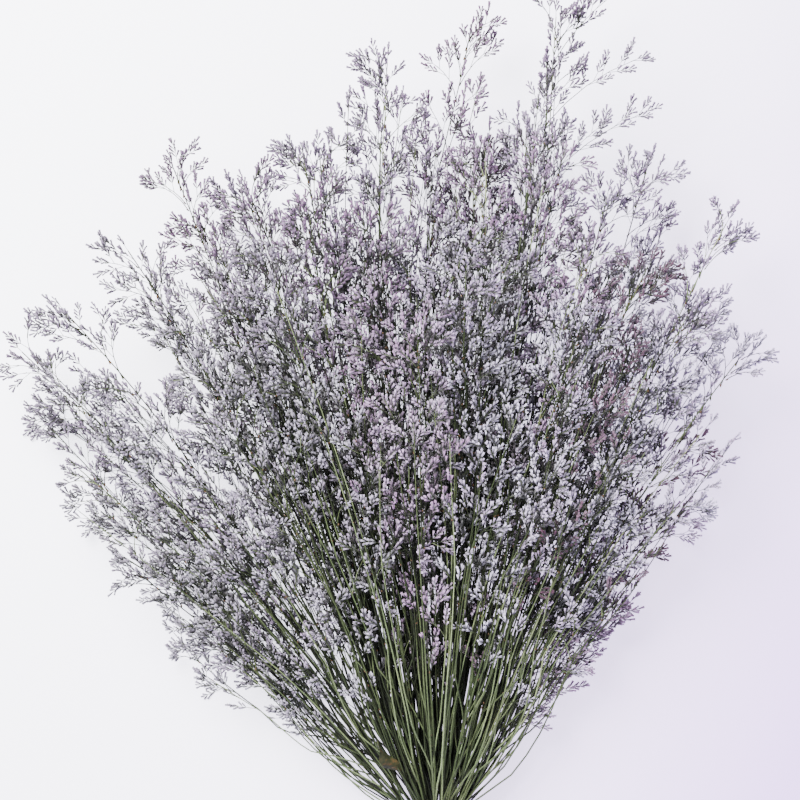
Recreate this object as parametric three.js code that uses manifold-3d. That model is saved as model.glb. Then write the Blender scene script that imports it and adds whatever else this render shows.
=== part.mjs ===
// Dried sea lavender: a tied bunch of flowering stems, laid on its side on a flat surface.
// Each stem is one grown piece with its branches and florets, so each is one solid. The tie is another.
// Millimetres. +Y runs up the bunch from the cut ends to the tips, +Z up from the surface, and
// +X to the right as seen from above. The origin is the bottom centre of the bunch's box.
import * as THREE from "three";
import { mergeVertices } from "three/addons/utils/BufferGeometryUtils.js";
import Module from "manifold-3d";

const wasm = await Module();
wasm.setup();

// The neck, where the stems are tied
const TIE_LIFT = 25; // height of the tie's middle over the surface
const NECK_HALF = 14; // the stems run side by side this far each way from the tie's middle
const TAIL = 82; // from the tie's middle down to the cut ends
const TAIL_SPREAD = 1.28; // how much wider the cut ends stand than the neck
const TWINE_RADIUS = 1.4;
const TWINE_TURNS = 4;
const TWINE_GAP = 0.4; // between the outermost stems and the twine

// The stems
const STEM_RADIUS = 1.35; // at the tie
const TIP_RADIUS = 0.75;
const SIDES = 3; // of stems, branches and florets
const STEM_GAP = 0.5; // between two stems in the tie
const STATIONS = [50, 115, 200, 300, 420]; // where a stem bends, from the tie
const FAN_SPACING = 0.085; // stems stand apart by this share of their distance from the tie
const REST = 0.3; // the lowest that a stem's middle lies over the surface, which cuts it flat there

// The flowering head
const BARE = 195; // a stem is bare this far up from the tie,
const BARE_SHARE = [0.42, 0.68]; // and over at least and at most these shares of its length
const BRANCH_SPACING = 57; // along the stem
const BRANCH_RADIUS = 0.55;
const BRANCH_ROOT = 2; // a branch reaches its full thickness this far from its foot
const BRANCH_ANGLE = 0.68; // radians between a branch and its stem
const ROOMIER = 0.5; // a branch skips a face for one where it grows longer by more than this
const FLORET_RADIUS = 4.8;
const FLORET_LENGTH = 24;
const FLORET_SWELL = 0.66; // a floret is widest this far along it
const FLORET_ANGLE = 0.7; // radians between a floret and what it grows from
const FLORET_PLACES = [0.25, 0.8]; // along a branch's bare stalk
const TOP_FLORETS = [6, 19, 32, 45]; // down the stem from its tip
const GOLDEN = 2.39996; // radians from one seed of a sunflower to the next
const TURN = 2 * Math.PI;
const SPRAY_GAP = 1; // between florets of two stems

// The stems that make the bunch's outline: where each spray ends, right of the tie, up the bunch
// from it and over the surface; how far its branches reach; and its colour.
const OUTLINE = [
  [-322, 394, 62, 40, "silver"],
  [-308, 352, 1, 32, "silver"],
  [-278, 304, 66, 34, "sage"],
  [-266, 272, 5, 28, "sage"],
  [-218, 224, 40, 18, "silver"],
  [-286, 424, 108, 46, "silver"],
  [-244, 232, 84, 22, "sage"],
  [-226, 442, 58, 50, "sage"],
  [-204, 532, 92, 44, "mauve"],
  [-150, 514, 44, 50, "silver"],
  [-112, 500, 130, 48, "mauve"],
  [-90, 548, 72, 46, "silver"],
  [-38, 612, 104, 42, "silver"],
  [24, 636, 64, 48, "mauve"],
  [44, 540, 0, 46, "plum"],
  [92, 646, 96, 84, "silver"],
  [70, 566, 30, 44, "silver"],
  [164, 532, 50, 50, "silver"],
  [150, 460, 132, 46, "plum"],
  [224, 490, 88, 44, "silver"],
  [208, 424, 42, 44, "silver"],
  [242, 398, 96, 36, "silver"],
  [192, 324, 60, 34, "plum"],
  [188, 266, 2, 34, "mauve"],
  [130, 214, 46, 24, "mauve"],
];
const TOP = 14; // from the end of a stem to the end of its spray

// The stems inside that outline are dealt out like seeds in a sunflower, across the fan and up it.
const INNER = 24;
const INNER_SIDE = [-0.04, 0.5]; // radians: the middle of the fan, and half its spread
const INNER_RISE = [0.18, 0.155];
const INNER_LENGTH = [600, 460]; // of the lowest and of the highest stem
const INNER_REACH = 44;

// The dried leaf that one stem still bears, a little above the tie
const LEAF = { stem: 47, from: 56, length: 38, radius: 5.5, angle: 0.4, flatness: 0.2 };

const COLOURS = {
  silver: 0xb9b7c6,
  sage: 0xa3a9ab,
  mauve: 0xa28fab,
  plum: 0x85687f,
  twine: 0xb59a6c,
};

const UP = new THREE.Vector3(0, 1, 0);
const TIE = new THREE.Vector3(0, 0, TIE_LIFT);

// A closed three.js geometry as a solid that can be joined and cut.
function solidOf(geometry) {
  geometry.deleteAttribute("normal");
  geometry.deleteAttribute("uv");
  const merged = mergeVertices(geometry, 1e-4);
  const corners = [...merged.index.array];
  const faces = [];
  for (let i = 0; i < corners.length; i += 3) {
    const [a, b, c] = corners.slice(i, i + 3);
    if (a !== b && b !== c && c !== a) faces.push(a, b, c);
  }
  const vertProperties = new Float32Array(merged.attributes.position.array);
  return new wasm.Manifold(
    new wasm.Mesh({ numProp: 3, vertProperties, triVerts: new Uint32Array(faces) }),
  );
}

function geometryOf(solid) {
  const { vertProperties, triVerts } = solid.getMesh();
  return new THREE.BufferGeometry()
    .setAttribute("position", new THREE.BufferAttribute(vertProperties, 3))
    .setIndex(new THREE.BufferAttribute(triVerts, 1));
}

// A number from 0 to 1 that is always the same for the same two whole numbers.
function chance(a, b) {
  const value = Math.sin(a * 127.1 + b * 311.7) * 43758.5453;
  return value - Math.floor(value);
}

// Where each stem's tip points, from the tie.
function chooseTips() {
  const outline = OUTLINE.map(([x, y, z, reach, colour]) => {
    const end = new THREE.Vector3(x, y, z);
    return { tip: end.setLength(end.length() - TOP), reach, colour };
  });
  const inner = Array.from({ length: INNER }, (_, i) => {
    const out = Math.sqrt((i + 0.5) / INNER);
    const across = out * Math.cos(i * GOLDEN);
    const upward = out * Math.sin(i * GOLDEN);
    const side = INNER_SIDE[0] + INNER_SIDE[1] * across;
    const rise = INNER_RISE[0] + INNER_RISE[1] * upward;
    const length = THREE.MathUtils.lerp(...INNER_LENGTH, (upward + 1) / 2) * (1 - 0.16 * chance(i, 3));
    const flat = length * Math.cos(rise);
    return {
      tip: new THREE.Vector3(
        flat * Math.sin(side),
        flat * Math.cos(side),
        TIE_LIFT + length * Math.sin(rise),
      ),
      reach: INNER_REACH,
      colour: ["silver", "sage", "mauve"][Math.floor(3 * chance(i, 7))],
    };
  });
  return [...outline, ...inner];
}

// The stems' places in the tie: each starts on the side that its tip points to, and is drawn in
// and pushed clear of the others until they all lie side by side.
function settleNeck(sprays) {
  const apart = 2 * STEM_RADIUS + STEM_GAP;
  const places = sprays.map(({ tip }) => {
    const side = Math.atan2(tip.x, tip.y);
    const rise = Math.atan2(tip.z - TIE_LIFT, Math.hypot(tip.x, tip.y));
    return new THREE.Vector2(20 * side, 45 * (rise - INNER_RISE[0] * 0.7));
  });
  for (let round = 0; round < 400; round++) {
    if (round < 300) places.forEach((p) => p.multiplyScalar(0.985));
    for (const a of places)
      for (const b of places) {
        if (a === b) continue;
        const away = a.clone().sub(b);
        const short = apart - away.length();
        if (short <= 0) continue;
        away.setLength(short / 2);
        a.add(away);
        b.sub(away);
      }
  }
  return places;
}

// A stem's line before it is pushed clear of its neighbours: up out of the tie and bending outwards.
function growStem(place, tip) {
  const start = new THREE.Vector3(place.x, NECK_HALF, TIE_LIFT + place.y);
  const bend = new THREE.Vector3(
    THREE.MathUtils.lerp(start.x, tip.x, 0.36),
    THREE.MathUtils.lerp(start.y, tip.y, 0.5),
    THREE.MathUtils.lerp(start.z, tip.z, 0.56),
  );
  const curve = new THREE.QuadraticBezierCurve3(start, bend, tip);
  const length = tip.distanceTo(start);
  const at = [0, ...STATIONS.filter((d) => d < length - 30), length];
  return { at, points: at.map((d) => curve.getPoint(d / length)), length };
}

// The point of a stem at a distance from the tie, and past the tip on the same line.
function stemPoint(stem, distance) {
  let k = 1;
  while (k < stem.at.length - 1 && stem.at[k] < distance) k++;
  const share = (distance - stem.at[k - 1]) / (stem.at[k] - stem.at[k - 1]);
  return stem.points[k - 1].clone().lerp(stem.points[k], share);
}

function stemDirection(stem, distance) {
  return stemPoint(stem, distance + 5).sub(stemPoint(stem, distance)).normalize();
}

// Pushes the stems apart, so that each has its own room in the fan, and keeps them off the surface.
function spreadFan(stems) {
  for (let round = 0; round < 60; round++)
    stems.forEach((stem) => {
      for (let k = 1; k < stem.points.length; k++) {
        const room = 2 * STEM_RADIUS + STEM_GAP + FAN_SPACING * stem.at[k];
        for (const other of stems) {
          if (other === stem || other.length < stem.at[k]) continue;
          const away = stem.points[k].clone().sub(stemPoint(other, stem.at[k]));
          const short = room - away.length();
          if (short > 0) stem.points[k].add(away.setLength(short / 2));
        }
        stem.points[k].z = Math.max(stem.points[k].z, REST);
      }
    });
}

function nearestOnLine(line, point) {
  return line.closestPointToPoint(point, true, new THREE.Vector3());
}

// The point of a stem that is nearest to another point.
function nearestOn(stem, point) {
  return stem.points.slice(1).reduce((best, end, k) => {
    const near = nearestOnLine(new THREE.Line3(stem.points[k], end), point);
    return best && best.distanceTo(point) < near.distanceTo(point) ? best : near;
  }, null);
}

// Draws a point in towards its own stem until it is nearer to that stem than to any other by girth,
// so that the branches of two stems never meet.
function ownSide(stems, stem, point, girth) {
  const middle = nearestOn(stem, point);
  const offset = point.clone().sub(middle);
  let share = 1;
  for (const other of stems) {
    if (other === stem) continue;
    const towards = nearestOn(other, point).sub(middle);
    const allowed = Math.max(towards.length() / 2 - girth, 0);
    const along = offset.dot(towards.normalize());
    if (along > allowed) share = Math.min(share, allowed / along);
  }
  const kept = middle.addScaledVector(offset, share);
  kept.z = Math.max(kept.z, REST);
  return kept;
}

// A direction across another, turned round it by azimuth.
function across(direction, azimuth) {
  const side = direction.clone().cross(new THREE.Vector3(0, 0, 1)).normalize();
  const up = side.clone().cross(direction);
  return side.multiplyScalar(Math.sin(azimuth)).addScaledVector(up, Math.cos(azimuth));
}

// A direction that leaves another at an angle, on the side that sideways points to.
function leaning(direction, sideways, angle) {
  return direction.clone().multiplyScalar(Math.cos(angle)).addScaledVector(sideways, Math.sin(angle));
}

// A tapered three-sided tube through points, made by moving an open cylinder's rings onto them and
// closing each end with one triangle. Its corners stand at twist, and at even steps round it.
function stemTube(points, radii, twist) {
  const tube = new THREE.CylinderGeometry(1, 1, 1, SIDES, points.length - 1, true);
  const last = (points.length - 1) * (SIDES + 1);
  tube.setIndex([...tube.index.array, 0, 1, 2, last + 2, last + 1, last]);
  const position = tube.attributes.position;
  const corner = new THREE.Vector3();
  for (let i = 0; i < position.count; i++) {
    corner.fromBufferAttribute(position, i);
    const ring = Math.round((corner.y + 0.5) * (points.length - 1));
    const before = points[Math.max(ring - 1, 0)];
    const after = points[Math.min(ring + 1, points.length - 1)];
    const along = after.clone().sub(before).normalize();
    const out = Math.hypot(corner.x, corner.z);
    const azimuth = Math.atan2(corner.x, corner.z) + twist;
    const place = points[ring].clone().addScaledVector(across(along, azimuth), out * radii[ring]);
    position.setXYZ(i, place.x, place.y, place.z);
  }
  return solidOf(tube);
}

// The turn that stands a lathed piece on the line from one point to another.
function turnTo(from, to) {
  return new THREE.Quaternion().setFromUnitVectors(UP, to.clone().sub(from).normalize());
}

// A lathed piece from one point to another. Its outline is given as radii along its length, and
// its thickness as a share of its width.
function turned(from, to, outline, flatness = 1) {
  const length = from.distanceTo(to);
  const profile = outline.map(([radius, share]) => new THREE.Vector2(radius, share * length));
  const piece = new THREE.LatheGeometry(profile, SIDES).scale(1, 1, flatness);
  piece.applyQuaternion(turnTo(from, to)).translate(from.x, from.y, from.z);
  return solidOf(piece);
}

// The way that a branch's faces look, the one that looks most up the bunch first. Florets stand
// in the middle of a face.
function facesOf(foot, tip, upward) {
  const turn = turnTo(foot, tip);
  return Array.from({ length: SIDES }, (_, side) => {
    const angle = ((side + 0.5) / SIDES) * TURN;
    return new THREE.Vector3(Math.sin(angle), 0, Math.cos(angle)).applyQuaternion(turn);
  }).sort((a, b) => b.dot(upward) - a.dot(upward));
}

// A floret: a calyx that swells from its foot and closes to a point.
function floret(foot, tip) {
  return turned(foot, tip, [
    [0, 0],
    [FLORET_RADIUS, FLORET_SWELL],
    [0, 1],
  ]);
}

function headOf(length) {
  return Math.min(FLORET_LENGTH, 0.6 * length);
}

// A branch: a thin stalk that ends in a floret.
function branch(foot, tip) {
  const length = foot.distanceTo(tip);
  const head = headOf(length);
  return turned(foot, tip, [
    [0, 0],
    [BRANCH_RADIUS, BRANCH_ROOT / length],
    [BRANCH_RADIUS, 1 - head / length],
    [FLORET_RADIUS, 1 - (head / length) * (1 - FLORET_SWELL)],
    [0, 1],
  ]);
}

// The way that one face of a stem looks.
function stemFace(upward, number, side) {
  return across(upward, twistOf(number) + ((side + 0.5) / SIDES) * TURN);
}

// How far a stem's corners are turned round it.
function twistOf(number) {
  return 0.9 * number;
}

// A leaf, widest in its middle and pointed, on the face of its stem that looks most upwards.
function leaf(stem) {
  const foot = stemPoint(stem, LEAF.from);
  const upward = stemDirection(stem, LEAF.from);
  const faces = [0, 1, 2].map((side) => stemFace(upward, LEAF.stem, side)).sort((a, b) => b.z - a.z);
  const tip = foot.clone().addScaledVector(leaning(upward, faces[0], LEAF.angle), LEAF.length);
  const outline = [[0, 0], [LEAF.radius, 0.5], [0, 1]];
  return turned(foot, tip, outline, LEAF.flatness);
}

// The end of a branch or floret that leaves its foot in a direction, kept on its own stem's side
// both at its tip and halfway.
function reachOut(stems, stem, foot, direction, length) {
  let tip = foot.clone().addScaledVector(direction, length);
  for (let round = 0; round < 2; round++) {
    const half = foot.clone().lerp(tip, 0.5);
    const kept = ownSide(stems, stem, half, BRANCH_RADIUS + SPRAY_GAP);
    tip.addScaledVector(kept.sub(half), 2);
    tip = ownSide(stems, stem, tip, FLORET_RADIUS + SPRAY_GAP);
  }
  return tip;
}

// The branches of one stem. Each takes the roomier of the two faces that the last one left free.
function growBranches(stems, stem, spray, number) {
  const [least, most] = BARE_SHARE.map((share) => share * stem.length);
  const bare = THREE.MathUtils.clamp(BARE, least, most);
  const count = Math.round((stem.length - bare) / BRANCH_SPACING);
  let last = number % SIDES;
  return Array.from({ length: count }, (_, k) => {
    const up = (k + 0.1 + 0.4 * chance(number, k)) / count;
    const from = THREE.MathUtils.lerp(bare, stem.length, up);
    const foot = stemPoint(stem, from);
    const upward = stemDirection(stem, from);
    const length = (spray.reach * (1.15 - 0.7 * up)) / Math.sin(BRANCH_ANGLE);
    const choices = [1, 2].map((step) => {
      const side = (last + step) % SIDES;
      const direction = leaning(upward, stemFace(upward, number, side), BRANCH_ANGLE);
      const tip = reachOut(stems, stem, foot, direction, length);
      return { side, foot, tip, upward, length: foot.distanceTo(tip) };
    });
    const chosen = choices.reduce((a, b) => (b.length > a.length + ROOMIER ? b : a));
    last = chosen.side;
    return chosen;
  });
}

// The florets of one stem, beside those that its branches end in. Each stands on the first face
// where it is clear of the stem, the branches and the other florets.
function growFlorets(stems, stem, branches, number) {
  const heads = branches.map(({ foot, tip, length }) =>
    tip.clone().lerp(foot, (headOf(length) / length) * (1 - FLORET_SWELL)),
  );
  const stalks = [
    ...branches.map(({ foot, tip }) => new THREE.Line3(foot, tip)),
    ...stem.points.slice(1).map((point, k) => new THREE.Line3(stem.points[k], point)),
  ];
  const isClear = (middle) =>
    heads.every((head) => head.distanceTo(middle) > 1.9 * FLORET_RADIUS) &&
    stalks.every((stalk) => nearestOnLine(stalk, middle).distanceTo(middle) > 1.2 * FLORET_RADIUS);
  const pieces = [];
  const addFloret = (foot, directions) => {
    for (const direction of directions) {
      const tip = reachOut(stems, stem, foot, direction, FLORET_LENGTH);
      const middle = foot.clone().lerp(tip, FLORET_SWELL);
      if (!isClear(middle) || foot.distanceTo(tip) < 0.75 * FLORET_LENGTH) continue;
      pieces.push(floret(foot, tip));
      heads.push(middle);
      return;
    }
  };
  for (const { foot, tip, upward, length } of branches) {
    const along = tip.clone().sub(foot).normalize();
    const faces = facesOf(foot, tip, upward).map((face) => leaning(along, face, FLORET_ANGLE));
    FLORET_PLACES.forEach((place, f) => {
      const from = foot.clone().addScaledVector(along, place * (length - headOf(length)));
      addFloret(from, f % 2 ? faces.slice(1) : faces);
    });
  }
  TOP_FLORETS.forEach((down, f) => {
    const from = stem.length - down;
    const upward = stemDirection(stem, from);
    const sides = [f, f + 1, f + 2].map((side) => stemFace(upward, number, side));
    addFloret(stemPoint(stem, from), sides.map((side) => leaning(upward, side, FLORET_ANGLE)));
  });
  return pieces;
}

const surface = new THREE.BoxGeometry(2000, 2000, 100).translate(0, 0, -50);
const belowSurface = solidOf(surface);

function sprayMesh(stems, number, sprays, places) {
  const stem = stems[number];
  const spray = sprays[number];
  const place = places[number];
  const lowest = Math.min(...places.map((p) => p.y));
  const tail = new THREE.Vector3(
    place.x * TAIL_SPREAD,
    -TAIL + 6 * chance(number, 11),
    REST + (place.y - lowest) * TAIL_SPREAD,
  );
  const neck = new THREE.Vector3(place.x, -NECK_HALF, TIE_LIFT + place.y);
  const points = [tail, neck, ...stem.points];
  const radii = points.map((_, k) =>
    THREE.MathUtils.lerp(STEM_RADIUS, TIP_RADIUS, Math.max(k - 2, 0) / (points.length - 3)),
  );
  const branches = growBranches(stems, stem, spray, number);
  const pieces = [
    ...branches.map(({ foot, tip }) => branch(foot, tip)),
    ...growFlorets(stems, stem, branches, number),
    ...(number === LEAF.stem ? [leaf(stem)] : []),
  ];
  const joined = pieces.reduce(
    (whole, piece) => whole.add(piece),
    stemTube(points, radii, twistOf(number)),
  );
  const mesh = new THREE.Mesh(
    geometryOf(joined.subtract(belowSurface)),
    new THREE.MeshStandardMaterial({ color: COLOURS[spray.colour], roughness: 0.9, metalness: 0 }),
  );
  mesh.name = "spray_" + String(number + 1).padStart(2, "0");
  return mesh;
}

// The tie: twine wound side by side round the neck, as one ring with a rounded turn in each pitch.
function tieMesh(places) {
  const inside = Math.max(...places.map((p) => p.length())) + STEM_RADIUS + TWINE_GAP;
  const half = TWINE_TURNS * TWINE_RADIUS;
  const profile = [new THREE.Vector2(inside, half), new THREE.Vector2(inside, -half)];
  for (let turn = 0; turn < TWINE_TURNS; turn++) {
    const middle = -half + (2 * turn + 1) * TWINE_RADIUS;
    profile.push(new THREE.Vector2(inside + 1.6 * TWINE_RADIUS, middle - 0.5 * TWINE_RADIUS));
    profile.push(new THREE.Vector2(inside + 1.6 * TWINE_RADIUS, middle + 0.5 * TWINE_RADIUS));
    profile.push(new THREE.Vector2(inside + 0.9 * TWINE_RADIUS, middle + TWINE_RADIUS));
  }
  profile.push(profile[0].clone());
  const ring = solidOf(new THREE.LatheGeometry(profile, 14));
  const mesh = new THREE.Mesh(
    geometryOf(ring),
    new THREE.MeshStandardMaterial({ color: COLOURS.twine, roughness: 0.95, metalness: 0 }),
  );
  mesh.name = "tie";
  mesh.position.copy(TIE);
  return mesh;
}

const sprays = chooseTips();
const places = settleNeck(sprays);
const stems = sprays.map(({ tip }, i) => growStem(places[i], tip));
spreadFan(stems);

const bunch = new THREE.Group();
sprays.forEach((_, i) => bunch.add(sprayMesh(stems, i, sprays, places)));
bunch.add(tieMesh(places));

// Moves the bunch so that the origin is the bottom centre of its box.
const middle = new THREE.Box3().setFromObject(bunch).getCenter(new THREE.Vector3());
bunch.position.set(-middle.x, -middle.y, 0);

export default bunch;
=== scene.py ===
"""Dried sea lavender: a tied bunch of flowering stems that lies on a flat surface.

The view is from straight above, as the photograph sees the bunch's front.
"""
import math

import bpy
import numpy as np
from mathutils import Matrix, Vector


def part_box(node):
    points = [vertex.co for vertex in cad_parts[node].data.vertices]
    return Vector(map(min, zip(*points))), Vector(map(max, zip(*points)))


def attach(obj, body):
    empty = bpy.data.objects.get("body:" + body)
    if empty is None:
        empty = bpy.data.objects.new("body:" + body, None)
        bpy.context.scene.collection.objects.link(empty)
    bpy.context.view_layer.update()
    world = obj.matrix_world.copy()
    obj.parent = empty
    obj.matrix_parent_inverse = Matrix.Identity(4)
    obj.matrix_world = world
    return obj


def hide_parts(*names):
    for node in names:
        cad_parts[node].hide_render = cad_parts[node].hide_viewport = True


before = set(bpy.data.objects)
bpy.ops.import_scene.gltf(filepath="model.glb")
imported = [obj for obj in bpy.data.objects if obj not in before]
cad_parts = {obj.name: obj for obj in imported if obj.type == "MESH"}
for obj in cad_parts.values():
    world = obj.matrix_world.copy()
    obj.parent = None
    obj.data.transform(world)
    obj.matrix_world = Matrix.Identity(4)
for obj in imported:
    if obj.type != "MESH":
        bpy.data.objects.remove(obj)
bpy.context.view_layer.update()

# The sprays: 49 flowering stems of sea lavender, cut and dried. Each is one grown piece, a green
# stalk with side stems, branches and papery calyces, and the tie holds them all together.

# Their lines are worked out in millimetres from the middle of the tie, by the rules that placed the
# CAD's stems: each stem starts in the tie, bends out to its own tip and is pushed clear of its
# neighbours, and its branches stay on its own side.
TIE_LIFT = 25.0  # the middle of the tie over the surface
NECK_HALF = 14.0  # half the length over which the stems lie side by side
NECK_START = (20, 45)  # apart, for each radian between their tips
NECK_MIDDLE = 0.7  # of the inner stems' rise starts in the middle
NECK_TURNS = 400
NECK_DRAWN = 300  # in so many of them the stems are drawn in as well,
NECK_DRAW = 0.985  # to this share of their distance each time
TAIL = 82.0  # the cut ends, from the tie
TAIL_SPREAD = 1.28
TAIL_UNEVEN = 6.0
STEM_RADIUS = 1.35
STEM_GAP = 0.5
BEND = (0.36, 0.5, 0.56)  # shares of the way to its tip: right, along, up
STATIONS = (50, 115, 200, 300, 420)  # where a stem bends, from the tie
LAST_STRETCH = 30.0  # the least between a station and the tip
FAN_SPACING = 0.085  # stems stand apart by this share of their distance from the tie
FAN_TURNS = 60
REST = 0.3  # the lowest that a stem's middle lies over the surface
BARE = 195.0  # a stem is bare this far up from the tie,
BARE_SHARE = (0.42, 0.68)  # kept within these shares of its length
BRANCH_SPACING = 57.0
BRANCH_PLACE = (0.1, 0.4)  # in its own stretch: the least, and what chance adds
BRANCH_ANGLE = 0.68  # radians
BRANCH_REACH = (1.15, 0.7)  # low down, and how much less at the tip
BRANCH_ROOM = 1.55  # the middle of a branch keeps this far on its own side,
TIP_ROOM = 5.8  # and its end this far
ROOMIER = 0.5  # a branch skips a face to grow this much longer
SIDES = 3  # the faces of a stem
TWIST = 0.9  # radians by which each stem is turned from the last
GOLDEN = 2.39996  # radians from one seed of a sunflower to the next
TOP = 14.0  # from the end of a stem to the end of its spray
INNER = 24  # the stems that fill the outline,
INNER_SIDE = (-0.04, 0.5)  # radians: the middle of their fan, and half its spread,
INNER_RISE = (0.18, 0.155)  # and the same for how steeply they rise
INNER_LENGTH = (600, 460)  # of the lowest and of the highest of them
INNER_UNEVEN = 0.16
INNER_REACH = 44

# Where each spray of the outline ends, how far its branches reach, and its colour
OUTLINE = [
    (-322, 394, 62, 40, "silver"),
    (-308, 352, 1, 32, "silver"),
    (-278, 304, 66, 34, "sage"),
    (-266, 272, 5, 28, "sage"),
    (-218, 224, 40, 18, "silver"),
    (-286, 424, 108, 46, "silver"),
    (-244, 232, 84, 22, "sage"),
    (-226, 442, 58, 50, "sage"),
    (-204, 532, 92, 44, "mauve"),
    (-150, 514, 44, 50, "silver"),
    (-112, 500, 130, 48, "mauve"),
    (-90, 548, 72, 46, "silver"),
    (-38, 612, 104, 42, "silver"),
    (24, 636, 64, 48, "mauve"),
    (44, 540, 0, 46, "plum"),
    (92, 646, 96, 84, "silver"),
    (70, 566, 30, 44, "silver"),
    (164, 532, 50, 50, "silver"),
    (150, 460, 132, 46, "plum"),
    (224, 490, 88, 44, "silver"),
    (208, 424, 42, 44, "silver"),
    (242, 398, 96, 36, "silver"),
    (192, 324, 60, 34, "plum"),
    (188, 266, 2, 34, "mauve"),
    (130, 214, 46, 24, "mauve"),
]


def chance(a, b):
    """A number from 0 to 1 that is always the same for the same two whole numbers."""
    value = math.sin(a * 127.1 + b * 311.7) * 43758.5453
    return value - math.floor(value)


def choose_tips():
    """Each stem's tip, the reach of its branches and its colour."""
    tips = []
    for x, y, z, reach, colour in OUTLINE:
        length = math.sqrt(x * x + y * y + z * z)
        share = (length - TOP) / length
        tips.append(((x * share, y * share, z * share), reach, colour))
    for i in range(INNER):
        out = math.sqrt((i + 0.5) / INNER)
        across = out * math.cos(i * GOLDEN)
        upward = out * math.sin(i * GOLDEN)
        side = INNER_SIDE[0] + INNER_SIDE[1] * across
        rise = INNER_RISE[0] + INNER_RISE[1] * upward
        long, short = INNER_LENGTH
        length = (long + (short - long) * (upward + 1) / 2) * (1 - INNER_UNEVEN * chance(i, 3))
        flat = length * math.cos(rise)
        tip = (flat * math.sin(side), flat * math.cos(side), TIE_LIFT + length * math.sin(rise))
        tips.append((tip, INNER_REACH, ("silver", "sage", "mauve")[int(3 * chance(i, 7))]))
    return tips


def settle_neck(tips):
    """The stems' places in the tie: drawn in and pushed clear until they lie side by side."""
    apart = 2 * STEM_RADIUS + STEM_GAP
    places = []
    for (x, y, z), _, _ in tips:
        rise = math.atan2(z - TIE_LIFT, math.hypot(x, y))
        steeper = rise - INNER_RISE[0] * NECK_MIDDLE
        places.append([NECK_START[0] * math.atan2(x, y), NECK_START[1] * steeper])
    for turn in range(NECK_TURNS):
        if turn < NECK_DRAWN:
            for p in places:
                p[0] *= NECK_DRAW
                p[1] *= NECK_DRAW
        for a in places:
            for b in places:
                x, y = a[0] - b[0], a[1] - b[1]
                length = math.hypot(x, y)
                if a is b or length >= apart:
                    continue
                push = (apart - length) / 2 / length
                a[0] += x * push
                a[1] += y * push
                b[0] -= x * push
                b[1] -= y * push
    return places


def grow_stem(place, tip):
    """A stem's line: distances from the tie, its points there, and its length."""
    start = (place[0], NECK_HALF, TIE_LIFT + place[1])
    bend = [s + (t - s) * share for s, t, share in zip(start, tip, BEND)]
    length = math.dist(start, tip)
    at = [0.0] + [d for d in STATIONS if d < length - LAST_STRETCH] + [length]
    points = []
    for d in at:
        t = d / length
        weights = ((1 - t) ** 2, 2 * (1 - t) * t, t * t)
        points.append([sum(w * p[axis] for w, p in zip(weights, (start, bend, tip))) for axis in range(3)])
    return {"at": at, "points": points, "length": length}


def point_at(stem, distance):
    """The point of a stem at a distance from the tie, and past the tip on the same line."""
    at, k = stem["at"], 1
    while k < len(at) - 1 and at[k] < distance:
        k += 1
    share = (distance - at[k - 1]) / (at[k] - at[k - 1])
    (ax, ay, az), (bx, by, bz) = stem["points"][k - 1 : k + 1]
    return ax + (bx - ax) * share, ay + (by - ay) * share, az + (bz - az) * share


def spread_fan(stems):
    """Pushes the stems apart, so that each has its own room, and keeps them off the surface."""
    for _ in range(FAN_TURNS):
        for stem in stems:
            for k in range(1, len(stem["at"])):
                at = stem["at"][k]
                room = 2 * STEM_RADIUS + STEM_GAP + FAN_SPACING * at
                x, y, z = stem["points"][k]
                for other in stems:
                    if other is stem or other["length"] < at:
                        continue
                    ox, oy, oz = point_at(other, at)
                    dx, dy, dz = x - ox, y - oy, z - oz
                    length = math.sqrt(dx * dx + dy * dy + dz * dz)
                    if length < room:
                        push = (room - length) / 2 / length
                        x, y, z = x + dx * push, y + dy * push, z + dz * push
                stem["points"][k] = [x, y, max(z, REST)]


tips = choose_tips()
places = settle_neck(tips)
stems = [grow_stem(place, tip) for place, (tip, _, _) in zip(places, tips)]
spread_fan(stems)

# Every stem's line as straight stretches, (stem, stretch, point), the short lists filled up
most = max(len(stem["points"]) for stem in stems)
padded = np.array([stem["points"] + [stem["points"][-1]] * (most - len(stem["points"])) for stem in stems])
stretch_start = padded[:, :-1]
stretch_way = padded[:, 1:] - padded[:, :-1]
stretch_square = np.maximum((stretch_way**2).sum(2), 1e-9)


def unit(vectors):
    """Vectors of length 1, each divided by its own length."""
    return vectors / np.maximum(np.linalg.norm(vectors, axis=-1, keepdims=True), 1e-9)


def nearest_on_stems(point):
    """The point of each stem that is nearest to a point, (stem, 3)."""
    share = ((point - stretch_start) * stretch_way).sum(2) / stretch_square
    near = stretch_start + stretch_way * np.clip(share, 0, 1)[..., None]
    best = np.linalg.norm(near - point, axis=2).argmin(1)
    return near[np.arange(len(near)), best]


def own_side(own, point, girth):
    """Draws a point in until it is nearer to its own stem than to any other by girth."""
    near = nearest_on_stems(point)
    middle = near[own]
    offset = point - middle
    towards = near - middle
    reach = np.linalg.norm(towards, axis=1)
    allowed = np.maximum(reach / 2 - girth, 0)
    along = (offset * towards).sum(1) / np.maximum(reach, 1e-9)
    over = (along > allowed) & (np.arange(len(near)) != own)
    share = (allowed[over] / along[over]).min(initial=1.0)
    kept = middle + offset * share
    kept[2] = max(kept[2], REST)
    return kept


def across(direction, azimuth):
    """A direction across another, turned round it by azimuth."""
    side = unit(np.cross(direction, (0.0, 0.0, 1.0)))
    return side * math.sin(azimuth) + np.cross(side, direction) * math.cos(azimuth)


def stem_face(own, upward, side):
    """The direction that looks out of one of a stem's faces."""
    return across(upward, TWIST * own + (side + 0.5) / SIDES * 2 * math.pi)


def leaning(direction, sideways, angle):
    """A direction that leans sideways by an angle: its cosine along, and its sine sideways."""
    return direction * math.cos(angle) + sideways * math.sin(angle)


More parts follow.
